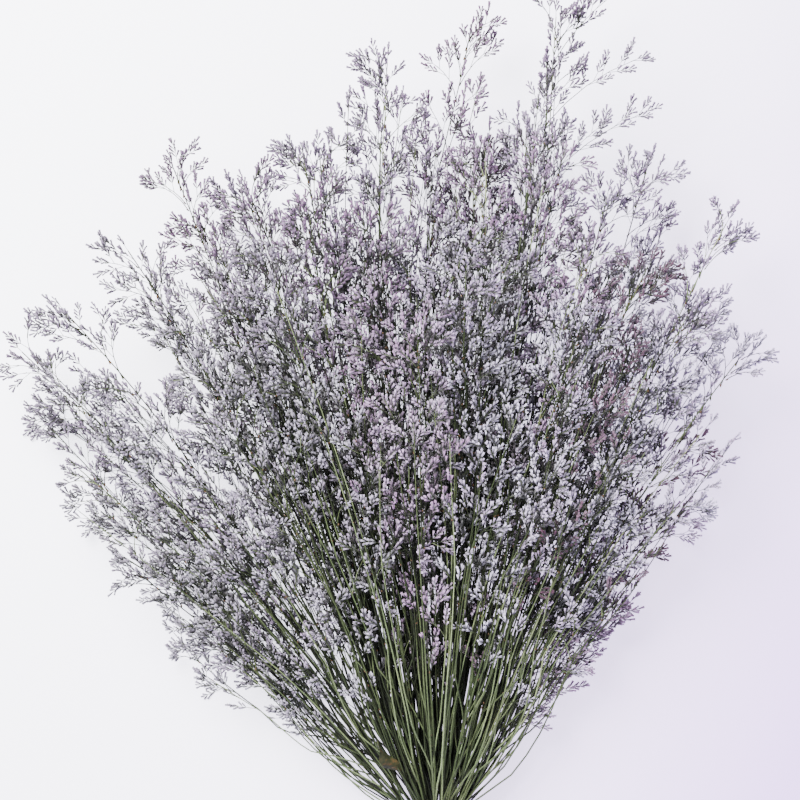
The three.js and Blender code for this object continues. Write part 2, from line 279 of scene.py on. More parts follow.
def reach_out(own, foot, direction, length, girth=TIP_ROOM):
    """The end of a branch that leaves its foot in a direction, kept on its own stem's side."""
    tip = foot + direction * length
    for _ in range(2):
        half = (foot + tip) / 2
        tip = tip + (own_side(own, half, BRANCH_ROOM) - half) * 2
        tip = own_side(own, tip, girth)
    return tip


def heading(stem, distance):
    """The direction of a stem, from a distance up it to 5 mm farther."""
    return unit(np.subtract(point_at(stem, distance + 5), point_at(stem, distance)))


def bare_length(stem):
    """The length over which a stem is bare: the same for all, kept within two shares of its own."""
    least, greatest = (share * stem["length"] for share in BARE_SHARE)
    return min(max(BARE, least), greatest)


def grow_branches(own, reach):
    """A stem's branches as (distance up the stem, direction up the stem, foot, tip). Each takes the
    roomier of the two faces that the last one left free."""
    stem, bare = stems[own], bare_length(stems[own])
    count = math.floor((stem["length"] - bare) / BRANCH_SPACING + 0.5)
    last, branches = own % SIDES, []
    for k in range(count):
        up = (k + BRANCH_PLACE[0] + BRANCH_PLACE[1] * chance(own, k)) / count
        distance = bare + (stem["length"] - bare) * up
        foot, upward = np.array(point_at(stem, distance)), heading(stem, distance)
        length = reach * (BRANCH_REACH[0] - BRANCH_REACH[1] * up) / math.sin(BRANCH_ANGLE)
        choices = []
        for step in (1, 2):
            side = (last + step) % SIDES
            direction = leaning(upward, stem_face(own, upward, side), BRANCH_ANGLE)
            tip = reach_out(own, foot, direction, length)
            choices.append((np.linalg.norm(tip - foot), side, tip))
        _, last, tip = choices[1] if choices[1][0] > choices[0][0] + ROOMIER else choices[0]
        branches.append((distance, upward, foot, tip))
    return branches


# What each spray bears: side stems that fork off low down, branches that arch out of all its
# stems, thin spikes along the branches, and pairs of dry calyces along each spike. A calyx is a
# small funnel, dark at its foot and pale and papery at its rim.
STEM_TIP_RADIUS = 0.42
STEM_POINTS = 40
STEM_SWAY = 1.5  # how far a stem winds to either side,
SWAY_RUN = 45  # over how much of its length for each radian,
SWAY_FROM = 60  # and this far from the tie it does so fully
SIDE_STEMS = 9
SIDE_RADII = (0.78, 0.3)
SIDE_POINTS = 16
SIDE_CROWDED = 1.3  # its points lie closer low down by this power
SIDE_FORK = (8.0, 104.0)  # where a side stem leaves its stem, from the tie
SIDE_END = (0.62, 0.97)  # the share of its stem's length that it reaches
SIDE_BARE = (0.56, 1.05)  # its bare length, as a share of its stem's
SIDE_AWAY = (0.3, 1.7)  # from its stem, as a share of the room between stems
SIDE_ROOM = 23.0  # the most that counts as room
SIDE_TWIST = 1.1  # radians from one spray's side stems to the next one's,
SIDE_UNEVEN = 0.9  # out of its place round the stem,
SIDE_TURN = 2.4  # and turning round it on the way
SIDE_SWAY = 9.0
FORK_RUN = 42.0  # from the fork to its own place
LOOSE = 15.0  # how far a side stem bows outwards low down,
LOOSE_TO = 165.0  # where it is back in its place, from the tie,
LOOSE_EDGE = 120.0  # and from which place across it does so fully
LOOSE_UNEVEN = 0.8
STEM_POWER = 0.32  # a stem loses its thickness fast, as this power of the way up,
SIDE_POWER = 0.8  # and a side stem evenly
BRANCH_RADII = (0.5, 0.24)
BRANCH_POINTS = 5
SIDES_OF_TUBES = (6, 4, 3)  # of a stem, a side stem, and a branch or stalk
BRANCH_BARE = 0.38  # the share of a branch below its spikes
BRANCH_BOW = (0.05, 0.13)  # its arch, as a share of its length
AZIMUTH_SPREAD = 0.7
LONGEST = 50  # the reach of the longest branches between the CAD's
SHORTEST = 9  # a branch that has less room isn't grown
BETWEEN_LOW = (0.36, 0.7)  # where branches stand between two of the CAD's, low on a stem
BETWEEN_HIGH = (0.2, 0.4, 0.6, 0.8)
HIGH = 0.4  # the share of a head where high starts
LAST_MARK = 6  # how far below a stem's tip they end
SIDE_BRANCHES = 2
SIDE_PLACE = (0.1, 0.9)
# Their lean, their length low down and how much less at the tip, its unevenness, and their room
STEM_SHOOTS = ((0.5, 0.8), (1.05, 0.55), (0.8, 1.15), 3.0)
SIDE_SHOOTS = ((0.4, 0.75), (0.85, 0.4), (0.75, 1.1), 2.4)
# The short sprigs below a stem's first branch
LOW_SPRIGS = 3
LOW_FROM = 0.5  # where they start, as a share of its bare length
LOW_LEAN = (0.25, 0.6)
LOW_LENGTHS = (16, 42)
ARMS = {15: ((548, 82), (500, 96))}  # long arms to the right: spray, place up its stem, length
ARM_LEAN = 0.85
SPIKE_RADII = (0.26, 0.16)
SPIKE_SPACING = 6.5
SPIKE_PLACE = (0.2, 0.8)
SPIKE_LENGTHS = (23.0, 14.0)  # at the foot and at the tip of a branch
SPIKE_UNEVEN = (0.75, 1.15)
SPIKE_MOST = (0.5, 6)  # a share of its branch, and a length on top
SPIKE_LEAN = (0.4, 0.8)
SPIKE_ASIDE = 0.6  # out of the plane of its branch
SPIKE_TILT = 0.35
SPIKE_BACK = 0.8  # every third stands on the other side
SPIKE_RISE = 0.16  # its turn up the stem
SPIKE_BARE = 0.34  # the share of a spike below its calyces
END_SPIKE = 13.0  # the spike that ends a branch
END_UNEVEN = (0.8, 1.2)
END_OVERLAP = 4
# The spikes at the tip of a stem: how far below it they stand, how far they lean, and their lengths
TOP_SPIKES = np.array([[1, 8, 17, 28, 40], [0.05, 0.6, 0.7, 0.7, 0.75], [11, 14, 17, 20, 22]])
PAIR_SPACING = 3.2
PAIR_PLACE = 0.4
LAST_PLACE = 0.98  # of the calyx that ends a spike
CALYX_LENGTH = 6.0
CALYX_UNEVEN = (0.7, 1.12)
CALYX_RADII = (0.7, 1.02)  # near its middle and at the rim
CALYX_LEAN = (0.25, 0.7)
CALYX_ASIDE = 0.55  # out of the plane of the stem
CALYX_RISE = 0.12
FUNNEL_WAIST = 0.45  # how far up a funnel its middle ring lies
FUNNEL_SUNK = 0.88  # and the bottom of its cup,
SUNK_SHADE = 0.85  # which has the colour of this height
FUNNEL_CORNERS = 8
NODE_SCALE = 2.6  # length of the brown scale at a fork
NODE_RADII = (0.26, 0.1)  # as shares of that length
CLEAR = 0.25  # the lowest that anything reaches over the surface
FAR = 1000  # farther than anything reaches
CELL = 10.0  # the squares in which depth inside the bunch is counted
SHADED = (3, 16)  # calyces over and under a thing that starts to be, and is, well inside
STEM_STEP = 5.0  # so much stem counts as one calyx
RUBBED_OFF = 0.55  # the share of the calyces that is gone well inside the bunch

# The dried leaf that one stem still bears, a little above the tie
LEAF_SPRAY = 47
LEAF_FROM = 56.0
LEAF_LENGTH = 38.0
LEAF_ANGLE = 0.4
LEAF_RADIUS = 5.5
LEAF_THICKNESS = 0.3
LEAF_STEPS = 15
LEAF_CORNERS = 12
LEAF_ARCH = 5.0
LEAF_TURN = (0.3, 2.2)  # radians at its foot, and more at its tip
LEAF_POINTED = (0.02, 0.75, 0.8)  # its blunt ends, and the powers of its outline
LEAF_FOLD = 0.55
LEAF_WAVES = (0.7, 17)  # how high its edge waves, and how fast
LEAF_COLOURS = [
    (0.25, (0.010, 0.014, 0.005)),
    (0.5, (0.035, 0.038, 0.014)),
    (0.75, (0.13, 0.065, 0.025)),
]

GREENS = [
    (0.0, (0.006, 0.011, 0.004)),
    (0.3, (0.026, 0.036, 0.015)),
    (0.65, (0.07, 0.095, 0.045)),
    (0.9, (0.235, 0.30, 0.165)),
    (1.0, (0.11, 0.075, 0.03)),
]
PALER_FROM = (-60.0, 90.0)  # the stems are paler on the right, from and to these places across,
PALER_BY = (0.12, 0.42)  # and by so much along GREENS there
PALE_SHARE = (0.65, 1.2, 0.92)  # a stem's own place there: most, power, limit
BRANCH_SHADES = 0.1  # how far a branch differs from its stem
SPIKE_SHADES = (0.2, 0.8)
# Painted shade: how much of its colour a thing keeps well inside the bunch, darker the deeper it lies
# among the calyces and stems
INNER_PAINTED_SHADE = [(0.0, (1, 1, 1)), (0.5, (0.36, 0.36, 0.34)), (1.0, (0.10, 0.11, 0.085))]
# The calyces are darker on the left of the bunch than on the right
LEFT_DARKER = [(0.0, (0.38, 0.35, 0.37)), (0.35, (0.64, 0.61, 0.64)), (0.6, (1, 1, 1))]
# Those far up are darker and redder
FAR_UP_DARKER = [(0.52, (1, 1, 1)), (0.68, (0.60, 0.53, 0.62)), (0.85, (0.33, 0.26, 0.32))]
# Each colour word's calyx foot, middle, rim, and the second rim that shows in patches
CALYX_COLOURS = {
    "silver": ((0.010, 0.012, 0.007), (0.14, 0.13, 0.175), (0.57, 0.535, 0.70), (0.43, 0.33, 0.52)),
    "sage": ((0.009, 0.012, 0.006), (0.12, 0.12, 0.135), (0.49, 0.48, 0.585), (0.38, 0.32, 0.46)),
    "mauve": ((0.012, 0.008, 0.009), (0.13, 0.085, 0.14), (0.47, 0.36, 0.54), (0.32, 0.18, 0.34)),
    "plum": ((0.008, 0.003, 0.005), (0.05, 0.020, 0.038), (0.17, 0.10, 0.155), (0.09, 0.032, 0.065)),
}


def smooth_line(at, points, wanted):
    """Points of a smooth line through given points: on each stretch, the cubic whose slope at
    both ends is that of the chord between the neighbouring points."""
    at, points = np.asarray(at, float), np.asarray(points, float)
    slopes = np.gradient(points, at, axis=0)
    wanted = np.asarray(wanted, float)
    k = np.clip(np.searchsorted(at, wanted, side="right") - 1, 0, len(at) - 2)
    span = (at[k + 1] - at[k])[:, None]
    t = (wanted - at[k])[:, None] / span
    a, b, m, n = points[k], points[k + 1], slopes[k] * span, slopes[k + 1] * span
    return (
        (2 * t**3 - 3 * t**2 + 1) * a
        + (t**3 - 2 * t**2 + t) * m
        + (3 * t**2 - 2 * t**3) * b
        + (t**3 - t**2) * n
    )


def lifted(groups):
    """Groups of corners (..., corner, 3), each raised so that its lowest corner is clear of the
    surface."""
    short = np.maximum(CLEAR - groups[..., 2].min(-1), 0)
    groups[..., 2] += short[..., None]
    return groups


def tubes(paths, radii, sides):
    """Closed tubes round paths (tube, point, 3), with radii (tube, point): rings of corners at even
    angles across each path. Returns the corners, the triangles, and how far up its tube each corner
    is, from 0 to 1."""
    along = unit(np.gradient(paths, axis=1))
    steady = np.eye(3)[np.abs(paths[:, -1] - paths[:, 0]).argmin(1)][:, None]
    side = unit(np.cross(along, steady))
    other = np.cross(along, side)
    angles = np.arange(sides) * 2 * math.pi / sides
    ring = side[:, :, None] * np.cos(angles)[:, None] + other[:, :, None] * np.sin(angles)[:, None]
    return joined(lifted(paths[:, :, None] + ring * radii[:, :, None, None]))


def joined(corners):
    """Closed skins over rings of corners (skin, ring, corner, 3): triangles from ring to ring, and
    a fan over the first and the last. Returns what tubes does."""
    count, rings, sides = corners.shape[:3]
    a = (np.arange(rings - 1)[:, None] * sides + np.arange(sides)).ravel()
    b = (np.arange(rings - 1)[:, None] * sides + (np.arange(sides) + 1) % sides).ravel()
    fan = np.stack([np.zeros(sides - 2, int), np.arange(1, sides - 1), np.arange(2, sides)], 1)
    faces = np.concatenate(
        [
            np.stack([a, b, b + sides], 1),
            np.stack([a, b + sides, a + sides], 1),
            fan[:, ::-1],
            fan + (rings - 1) * sides,
        ]
    )
    faces = (faces[None] + np.arange(count)[:, None, None] * rings * sides).reshape(-1, 3)
    height = np.broadcast_to(np.linspace(0, 1, rings)[None, :, None], (count, rings, sides))
    return corners.reshape(-1, 3), faces, height.ravel()


def funnels(feet, directions, lengths, radii, roll):
    """Three-sided funnels, one at each foot: a point, a ring near the middle, a wide ring at the
    rim, and a sunk middle. Radii are shares of a funnel's length. Returns what tubes does."""
    steady = np.eye(3)[np.abs(directions).argmin(1)]
    side = unit(np.cross(directions, steady))
    other = np.cross(directions, side)
    turn = roll[:, None] + np.arange(3) * 2 * math.pi / 3
    ring = side[:, None] * np.cos(turn)[..., None] + other[:, None] * np.sin(turn)[..., None]
    foot, axis = feet[:, None], directions[:, None]
    size = lengths[:, None, None]
    waist = foot + size * (FUNNEL_WAIST * axis + radii[0] * ring)
    rim = foot + size * (axis + radii[1] * ring)
    corners = lifted(np.concatenate([foot, waist, rim, foot + size * FUNNEL_SUNK * axis], axis=1))
    i = np.arange(3)
    j = (i + 1) % 3
    faces = np.concatenate(
        [
            np.stack([0 * i, 1 + j, 1 + i], 1),
            np.stack([1 + i, 1 + j, 4 + j], 1),
            np.stack([1 + i, 4 + j, 4 + i], 1),
            np.stack([7 + 0 * i, 4 + i, 4 + j], 1),
        ]
    )
    faces = (faces[None] + np.arange(len(feet))[:, None, None] * FUNNEL_CORNERS).reshape(-1, 3)
    height = np.tile([0.0] + [FUNNEL_WAIST] * 3 + [1.0] * 3 + [SUNK_SHADE], len(feet))
    return corners.reshape(-1, 3), faces, height


def arched(feet, tips, bows, steps):
    """Arched paths from feet to tips, (path, step, 3), that stand off the straight line by bows."""
    t = np.linspace(0, 1, steps)[None, :, None]
    return feet[:, None] + (tips - feet)[:, None] * t + bows[:, None] * 4 * t * (1 - t)


def side_stem(own, number):
    """A side stem's distances from the tie and its points there. It forks off its stem, keeps its
    distance while it turns slowly round it, sways to one side, and bows outwards low down."""
    stem = stems[own]
    fork, end, away = (
        low + (high - low) * chance(own, 10 * k + number)
        for k, (low, high) in enumerate((SIDE_FORK, SIDE_END, SIDE_AWAY), start=2)
    )
    way_up = np.linspace(0, 1, SIDE_POINTS) ** SIDE_CROWDED
    at = fork + (end * stem["length"] - fork) * way_up
    points = smooth_line(stem["at"], stem["points"], at)
    rise = (at - fork) / (at[-1] - fork)
    room = np.minimum(2 * STEM_RADIUS + STEM_GAP + FAN_SPACING * at, SIDE_ROOM)
    out = away * room * np.clip((at - fork) / FORK_RUN, 0, 1)
    azimuth = SIDE_TWIST * own + 2 * math.pi * number / SIDE_STEMS
    azimuth = azimuth + SIDE_UNEVEN * (chance(own, 50 + number) - 0.5)
    turn = azimuth + SIDE_TURN * (chance(own, 60 + number) - 0.5) * rise
    direction = unit(np.gradient(points, axis=0))
    side = unit(np.cross(direction, (0.0, 0.0, 1.0)))
    other = np.cross(side, direction)
    points = points + out[:, None] * (side * np.sin(turn)[:, None] + other * np.cos(turn)[:, None])
    sway = SIDE_SWAY * (2 * chance(own, 70 + number) - 1) * np.sin(math.pi * rise)
    edge = np.clip(stem["points"][-1][0] / LOOSE_EDGE, -1, 1)
    outwards = edge + LOOSE_UNEVEN * (chance(own, 100 + number) - 0.5)
    share = np.clip((at - fork) / (LOOSE_TO - fork), 0, 1)
    loose = LOOSE * outwards * (1 - fork / LOOSE_TO) * chance(own, 110 + number)
    sway = sway + loose * np.sin(math.pi * share)
    return at, points + side * sway[:, None]


def open_azimuth(rng):
    """Which way a branch leaves its stem: to either side more often than up or down."""
    return rng.choice((-1, 1)) * math.pi / 2 + rng.normal(0, AZIMUTH_SPREAD)


def own_line(own):
    """A stem's own line as distances from the tie and points, from its cut end to its tip. It winds
    a little to either side, as a sine of the distance."""
    stem = stems[own]
    place = places[own]
    lowest = min(p[1] for p in places)
    tail_y = -TAIL + TAIL_UNEVEN * chance(own, 11)
    tail = (place[0] * TAIL_SPREAD, tail_y, REST + (place[1] - lowest) * TAIL_SPREAD)
    neck = (place[0], -NECK_HALF, TIE_LIFT + place[1])
    at = [-TAIL - NECK_HALF, -2 * NECK_HALF] + stem["at"]
    steps = np.linspace(at[0], stem["length"], STEM_POINTS)
    line = smooth_line(at, [tail, neck] + stem["points"], steps)
    sway = STEM_SWAY * np.sin(steps / SWAY_RUN + own) * np.clip(steps / SWAY_FROM, 0, 1)
    sideways = unit(np.cross(np.gradient(line, axis=0), (0.0, 0.0, 1.0)))
    return steps, line + sway[:, None] * sideways


def on_line(distances, path, at):
    """The points of a line, given as distances and points, at other distances."""
    return np.stack([np.interp(at, distances, path[:, axis]) for axis in range(3)], -1)


def branch_from(stem, distance, azimuth, lean):
    """A branch's foot on a stem, the direction up the stem there, and the branch's own direction."""
    upward = heading(stem, distance)
    return np.array(point_at(stem, distance)), upward, leaning(upward, across(upward, azimuth), lean)


def shoot(own, longest, up, distance, values, rng, foot=None):
    """A branch as (foot, tip, direction up the stem). It is longest low down, and shorter in
    proportion to its place up the stem."""
    lean, lengths, uneven, room = values
    turn, lean = open_azimuth(rng), rng.uniform(*lean)
    on_stem, upward, direction = branch_from(stems[own], distance, turn, lean)
    foot = on_stem if foot is None else foot
    length = longest * (lengths[0] - lengths[1] * up) * rng.uniform(*uneven)
    return foot, reach_out(own, foot, direction, length, room), upward


def spray_lines(own, reach, rng):
    """Everything that carries calyces in one spray. Returns its stems as (distances, points), and
    its branches as arrays of feet, tips and directions up the stem."""
    stem = stems[own]
    lines = [own_line(own)] + [side_stem(own, number) for number in range(SIDE_STEMS)]
    branches = grow_branches(own, reach)
    found = [(foot, tip, upward) for _, upward, foot, tip in branches]
    longest = min(reach, LONGEST)
    marks = [d for d, _, _, _ in branches] + [stem["length"] - LAST_MARK]
    for k in range(len(marks) - 1):
        up = (marks[k] - marks[0]) / (stem["length"] - marks[0])
        for share in BETWEEN_HIGH if up > HIGH else BETWEEN_LOW:
            distance = marks[k] + (marks[k + 1] - marks[k]) * share
            found.append(shoot(own, longest, up, distance, STEM_SHOOTS, rng))
    for distance in bare_length(stem) * rng.uniform(LOW_FROM, 1, LOW_SPRIGS):
        turn, lean = open_azimuth(rng), rng.uniform(*LOW_LEAN)
        foot, upward, direction = branch_from(stem, distance, turn, lean)
        found.append((foot, foot + direction * rng.uniform(*LOW_LENGTHS), upward))
    for distance, length in ARMS.get(own, ()):
        foot, upward, direction = branch_from(stem, distance, math.pi / 2, ARM_LEAN)
        found.append((foot, foot + direction * length, upward))
    for number, (distances, path) in enumerate(lines[1:]):
        share = SIDE_BARE[0] + (SIDE_BARE[1] - SIDE_BARE[0]) * chance(own, 80 + number)
        bare = bare_length(stem) * share
        for k in range(SIDE_BRANCHES):
            up = (k + rng.uniform(*SIDE_PLACE)) / SIDE_BRANCHES
            distance = bare + (distances[-1] - bare) * up
            foot = on_line(distances, path, distance)
            found.append(shoot(own, longest, up, distance, SIDE_SHOOTS, rng, foot))
    feet, ends, upwards = (np.array(column) for column in zip(*found))
    kept = np.linalg.norm(ends - feet, axis=1) > SHORTEST
    return lines, feet[kept], ends[kept], upwards[kept]


def spikes_of(lines, feet, tips, bows, upwards, rng):
    """The spikes of one spray as feet, directions, lengths and the way that each looks up. They
    stand along each branch by turns on either side, shorter towards its tip, and at the tips of
    the branches and stems."""
    length = np.linalg.norm(tips - feet, axis=1)
    count = np.maximum(np.round(length * (1 - BRANCH_BARE) / SPIKE_SPACING), 1).astype(int)
    owner = np.repeat(np.arange(len(feet)), count)
    step = np.concatenate([np.arange(n) for n in count])
    t = BRANCH_BARE + (1 - BRANCH_BARE) * (step + rng.uniform(*SPIKE_PLACE, len(owner))) / count[owner]
    way = tips[owner] - feet[owner]
    foot = feet[owner] + way * t[:, None] + bows[owner] * (4 * t * (1 - t))[:, None]
    along = unit(way + bows[owner] * (4 - 8 * t)[:, None])
    normal = unit(np.cross(along, upwards[owner]) + rng.normal(0, SPIKE_TILT, along.shape))
    sideways = unit(np.cross(normal, along)) * np.where(step % 3 == 1, -SPIKE_BACK, 1.0)[:, None]
    aside = rng.uniform(-SPIKE_ASIDE, SPIKE_ASIDE, (len(owner), 1))
    sideways = unit(sideways + normal * aside)
    lean = rng.uniform(*SPIKE_LEAN, (len(owner), 1))
    direction = unit(along * np.cos(lean) + sideways * np.sin(lean) + SPIKE_RISE * upwards[owner])
    size = np.interp(t, (0, 1), SPIKE_LENGTHS) * rng.uniform(*SPIKE_UNEVEN, len(owner))
    size = np.minimum(size, SPIKE_MOST[0] * length[owner] + SPIKE_MOST[1])
    end_way = unit(tips - feet - 4 * bows)
    end_size = END_SPIKE * rng.uniform(*END_UNEVEN, len(tips))
    result = [
        (foot, direction, size, upwards[owner]),
        (tips - end_way * END_OVERLAP, end_way, end_size, upwards),
    ]
    for distances, points in lines:
        top = distances[-1] - TOP_SPIKES[0]
        at = np.stack([np.interp(top, distances, points[:, axis]) for axis in range(3)], 1)
        up = np.repeat(unit(points[-1] - points[-3])[None], len(top), 0)
        azimuth = np.arange(len(top)) * GOLDEN + rng.uniform(0, 6)
        side = unit(np.cross(up, (0.0, 0.0, 1.0)))
        other = np.cross(side, up)
        outward = side * np.sin(azimuth)[:, None] + other * np.cos(azimuth)[:, None]
        lean = TOP_SPIKES[1][:, None]
        way = unit(up * np.cos(lean) + outward * np.sin(lean))
        result.append((at, way, TOP_SPIKES[2], up))
    return [np.concatenate(column) for column in zip(*result)]


def calyces_of(feet, directions, lengths, upwards, rng):
    """The calyces of the spikes: feet, directions and lengths. They stand in pairs that fork to
    both sides of the spike in the plane of the stem, with one at the spike's end."""
    pairs = np.maximum(np.round(lengths * (1 - SPIKE_BARE) / PAIR_SPACING), 2).astype(int)
    owner = np.repeat(np.arange(len(feet)), 2 * pairs + 1)
    place = np.concatenate([np.arange(2 * n + 1) for n in pairs])
    last = place == 2 * pairs[owner]
    along_pairs = SPIKE_BARE + (1 - SPIKE_BARE) * (place // 2 + PAIR_PLACE) / pairs[owner]
    t = np.where(last, LAST_PLACE, along_pairs)
    side = np.where(last, 0.0, np.where(place % 2, 1.0, -1.0))
    along, size = directions[owner], lengths[owner][:, None]
    bend = unit(upwards[owner] - (upwards[owner] * along).sum(1, keepdims=True) * along)
    foot = feet[owner] + along * size * t[:, None]
    spread = unit(bend + np.cross(along, bend) * rng.normal(0, CALYX_ASIDE, (len(owner), 1)))
    lean = rng.uniform(*CALYX_LEAN, len(owner)) * side
    way = unit(along * np.cos(lean)[:, None] + spread * np.sin(lean)[:, None] + bend * CALYX_RISE)
    return foot, way, CALYX_LENGTH * rng.uniform(*CALYX_UNEVEN, len(owner))


def leaf():
    """The one leaf left on a stem: a closed skin of flat rings, widest at two fifths of the way,
    folded along its midrib, wavy at its edges and turned once over its length."""
    stem = stems[LEAF_SPRAY]
    foot, upward = np.array(point_at(stem, LEAF_FROM)), heading(stem, LEAF_FROM)
    face = max((stem_face(LEAF_SPRAY, upward, side) for side in range(SIDES)), key=lambda way: way[2])
    way = leaning(upward, face, LEAF_ANGLE)
    t = np.linspace(0, 1, LEAF_STEPS)[:, None]
    middle = foot + way * LEAF_LENGTH * t + face * LEAF_ARCH * np.sin(math.pi * t)
    flat = unit(np.cross(way, face))
    turn = LEAF_TURN[0] + LEAF_TURN[1] * t
    wide = flat * np.cos(turn) + np.cross(way, flat) * np.sin(turn)
    thick = np.cross(way, wide)
    blunt, low, full = LEAF_POINTED
    half = LEAF_RADIUS * np.sin(math.pi * np.clip(t, blunt, 1 - blunt) ** low) ** full
    a = np.arange(LEAF_CORNERS) * 2 * math.pi / LEAF_CORNERS
    wave = LEAF_WAVES[0] * np.cos(a) * np.sin(LEAF_WAVES[1] * t)
    fold = LEAF_FOLD * half * np.abs(np.cos(a)) + wave
    rings = middle[:, None] + wide[:, None] * (half * np.cos(a))[..., None]
    rings = rings + thick[:, None] * (LEAF_THICKNESS * np.sin(a) + fold)[..., None]
    return joined(lifted(rings[None]))


def tapered(radii, count, steps):
    """The radii of like tubes, (tube, point), that go evenly from the first radius to the second."""
    return np.repeat(np.linspace(*radii, steps)[None], count, 0)


def add_part(parts, shape, kind, luck):
    """Adds a shape to a list of parts, with its material's number and a random number from 0 to 1
    for each of its corners."""
    corners, faces, height = shape
    parts.append((corners, faces, np.full(len(faces), kind), height, np.broadcast_to(luck, len(corners))))


def crowd_key(points, heights):
    """One number for the square that a point stands over and a height over the surface, such that
    sorting puts the squares one after another and each from the surface upwards."""
    squares = np.floor((points[:, :2] + FAR) / CELL)
    return (squares[:, 0] * FAR + squares[:, 1]) * FAR + heights


def depth_inside(points):
    """How deep points lie in the bunch, from 0 to 1, by the number of calyces and stretches of stem
    over or under each in its own square, whichever is the smaller."""
    here = np.searchsorted(crowd, crowd_key(points, points[:, 2]))
    over = np.searchsorted(crowd, crowd_key(points, FAR - 1)) - here
    under = here - np.searchsorted(crowd, crowd_key(points, 0))
    return np.clip((np.minimum(over, under) - SHADED[0]) / (SHADED[1] - SHADED[0]), 0, 1)


def new_object(name, data):
    """An object that shows some data, in the scene."""
    made = bpy.data.objects.new(name, data)
    bpy.context.scene.collection.objects.link(made)
    return made


def part_mesh(name, parts, materials, origin):
    """A mesh object of all the parts. The attribute growth holds the height up a stalk or calyx,
    the random number and the depth inside. The corners go from millimetres at the tie to metres."""
    corners = np.concatenate([part[0] for part in parts])
    starts = np.cumsum([0] + [len(part[0]) for part in parts[:-1]])
    faces = np.concatenate([part[1] + start for part, start in zip(parts, starts)])
    mesh = bpy.data.meshes.new(name)
    mesh.from_pydata((corners * 0.001 + origin).tolist(), [], faces.tolist())
    kinds = np.concatenate([part[2] for part in parts]).astype(np.int32)
    mesh.polygons.foreach_set("material_index", kinds)
    growth = np.ones((len(corners), 4), np.float32)
    growth[:, 0] = np.concatenate([part[3] for part in parts])
    growth[:, 1] = np.concatenate([part[4] for part in parts])
    growth[:, 2] = depth_inside(corners)
    mesh.attributes.new("growth", "FLOAT_COLOR", "POINT").data.foreach_set("color", growth.ravel())
    mesh.shade_smooth()
    for material in materials:
        mesh.materials.append(material)
    return new_object(name, mesh)


def new_material(name, roughness):
    """A material, its tree of nodes, and its Principled node."""
    material = bpy.data.materials.new(name)
    material.use_nodes = True
    tree = material.node_tree
    shader = tree.nodes["Principled BSDF"]
    shader.inputs["Roughness"].default_value = roughness
    shader.inputs["Specular IOR Level"].default_value = 0.25
    return material, tree, shader


def ramp(tree, source, stops):
    """A colour ramp through stops (place, colour), read at source."""
    node = tree.nodes.new("ShaderNodeValToRGB")
    elements = node.color_ramp.elements
    while len(elements) < len(stops):
        elements.new(0.5)
    for element, (place, colour) in zip(elements, stops):
        element.position = place
        element.color = (*colour, 1)
    tree.links.new(source, node.inputs["Fac"])
    return node.outputs["Color"]


def growth_of(tree):
    """The three numbers of the attribute growth: height, luck and depth inside."""
    attribute = tree.nodes.new("ShaderNodeAttribute")
    attribute.attribute_name = "growth"
    split = tree.nodes.new("ShaderNodeSeparateColor")
    tree.links.new(attribute.outputs["Color"], split.inputs["Color"])
    return split.outputs["Red"], split.outputs["Green"], split.outputs["Blue"]


def own_place(tree, stretch, start=(0, 0, 0), turn=0.0):
    """The place on the piece in its own coordinates: stretched, turned about Z, moved by start."""
    place = tree.nodes.new("ShaderNodeTexCoord")
    mapping = tree.nodes.new("ShaderNodeMapping")
    mapping.inputs["Location"].default_value = start
    mapping.inputs["Rotation"].default_value = (0, 0, turn)
    mapping.inputs["Scale"].default_value = stretch
    tree.links.new(place.outputs["Object"], mapping.inputs["Vector"])
    return mapping.outputs["Vector"]


def noise(tree, scale, detail, stretch=(1, 1, 1)):
    """Noise on the piece's own coordinates, stretched along its axes."""
    texture = tree.nodes.new("ShaderNodeTexNoise")
    texture.inputs["Scale"].default_value = scale
    texture.inputs["Detail"].default_value = detail
    tree.links.new(own_place(tree, stretch), texture.inputs["Vector"])
    return texture.outputs["Fac"]


def mixed(tree, kind, factor, first, second):
    """Two colours mixed. The factor is a number or a socket."""
    node = tree.nodes.new("ShaderNodeMix")
    node.data_type = "RGBA"
    node.blend_type = kind
    if isinstance(factor, float):
        node.inputs["Factor"].default_value = factor
    else:
        tree.links.new(factor, node.inputs["Factor"])
    tree.links.new(first, node.inputs["A"])
    tree.links.new(second, node.inputs["B"])
    return node.outputs["Result"]


def shaded(tree, colour, *shades):
    """A colour multiplied by each of the shades."""
    for shade in shades:
        colour = mixed(tree, "MULTIPLY", 1.0, colour, shade)
    return colour


def bumped(tree, shader, height, strength, distance):
    """Roughens a surface by a height from 0 to 1 that stands for so many metres."""
    bump = tree.nodes.new("ShaderNodeBump")
    bump.inputs["Strength"].default_value = strength
    bump.inputs["Distance"].default_value = distance
    tree.links.new(height, bump.inputs["Height"])
    tree.links.new(bump.outputs["Normal"], shader.inputs["Normal"])


def stem_material():
    """Dry green stalk: each stem has its own green, with streaks along it and pale ridges."""
    material, tree, shader = new_material("dry_stem", 0.7)
    _, luck, inside = growth_of(tree)
    green = ramp(tree, luck, GREENS)
    streaks = noise(tree, 900, 3, (1, 0.06, 1))
    dark_and_light = [(0.3, (0.62, 0.6, 0.55)), (0.5, (1, 1, 1)), (0.72, (1.25, 1.25, 1.1))]
    shade = ramp(tree, streaks, dark_and_light)
    olive_and_green = [(0.35, (0.8, 0.85, 0.75)), (0.65, (1.15, 1.1, 1.0))]
    patches = ramp(tree, noise(tree, 22, 2), olive_and_green)
    # Painted shade: a stem darkens the deeper it lies inside the bunch
    colour = shaded(tree, green, shade, patches, ramp(tree, inside, INNER_PAINTED_SHADE))
    tree.links.new(colour, shader.inputs["Base Color"])
    bumped(tree, shader, streaks, 0.5, 0.0003)
    return material


